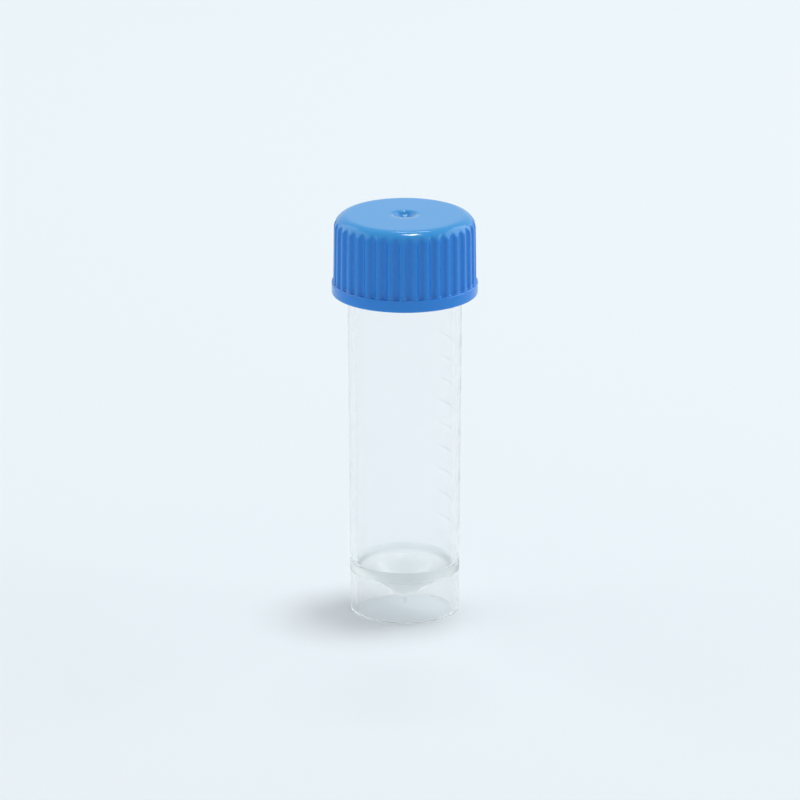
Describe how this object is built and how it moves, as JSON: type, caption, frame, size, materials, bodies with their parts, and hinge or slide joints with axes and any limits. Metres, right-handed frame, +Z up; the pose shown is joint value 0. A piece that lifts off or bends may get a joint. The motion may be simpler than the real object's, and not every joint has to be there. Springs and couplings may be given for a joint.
{
  "type": "cryovial",
  "caption": "Self-standing translucent sample tube with a conical floor, moulded volume lines and a fluted two-start screw cap with a gasket.",
  "frame": {"origin": "centre of the ring that the vial stands on, on the floor", "axes": "+Z up along the vial's axis, -Y towards the viewer, volume lines at the back right between +Y and +X"},
  "size_m": [0.0206, 0.0206, 0.0578],
  "materials": {
    "tube_plastic": "natural translucent polypropylene, smooth, slightly milky",
    "cap_plastic": "mid-blue polyethylene, satin moulded surface",
    "gasket_rubber": "off-white silicone, matte"
  },
  "bodies": {
    "vial": {"vial": "tube_plastic"},
    "seal": {"seal_ring": "gasket_rubber"},
    "cap": {"screw_cap": "cap_plastic"}
  },
  "joints": [
    {"name": "cap_rise", "type": "slide", "parent": "vial", "child": "seal", "axis": [0, 0, 1], "range_m": [0, 0.015]},
    {"name": "cap_turn", "type": "hinge", "parent": "seal", "child": "cap", "pos_m": [0, 0, 0.0464], "axis": [0, 0, 1], "range_deg": [0, 1080]}
  ],
  "couplings": [
    {"joint": "cap_rise", "follows": "cap_turn", "m_per_rad": 0.00079577}
  ]
}
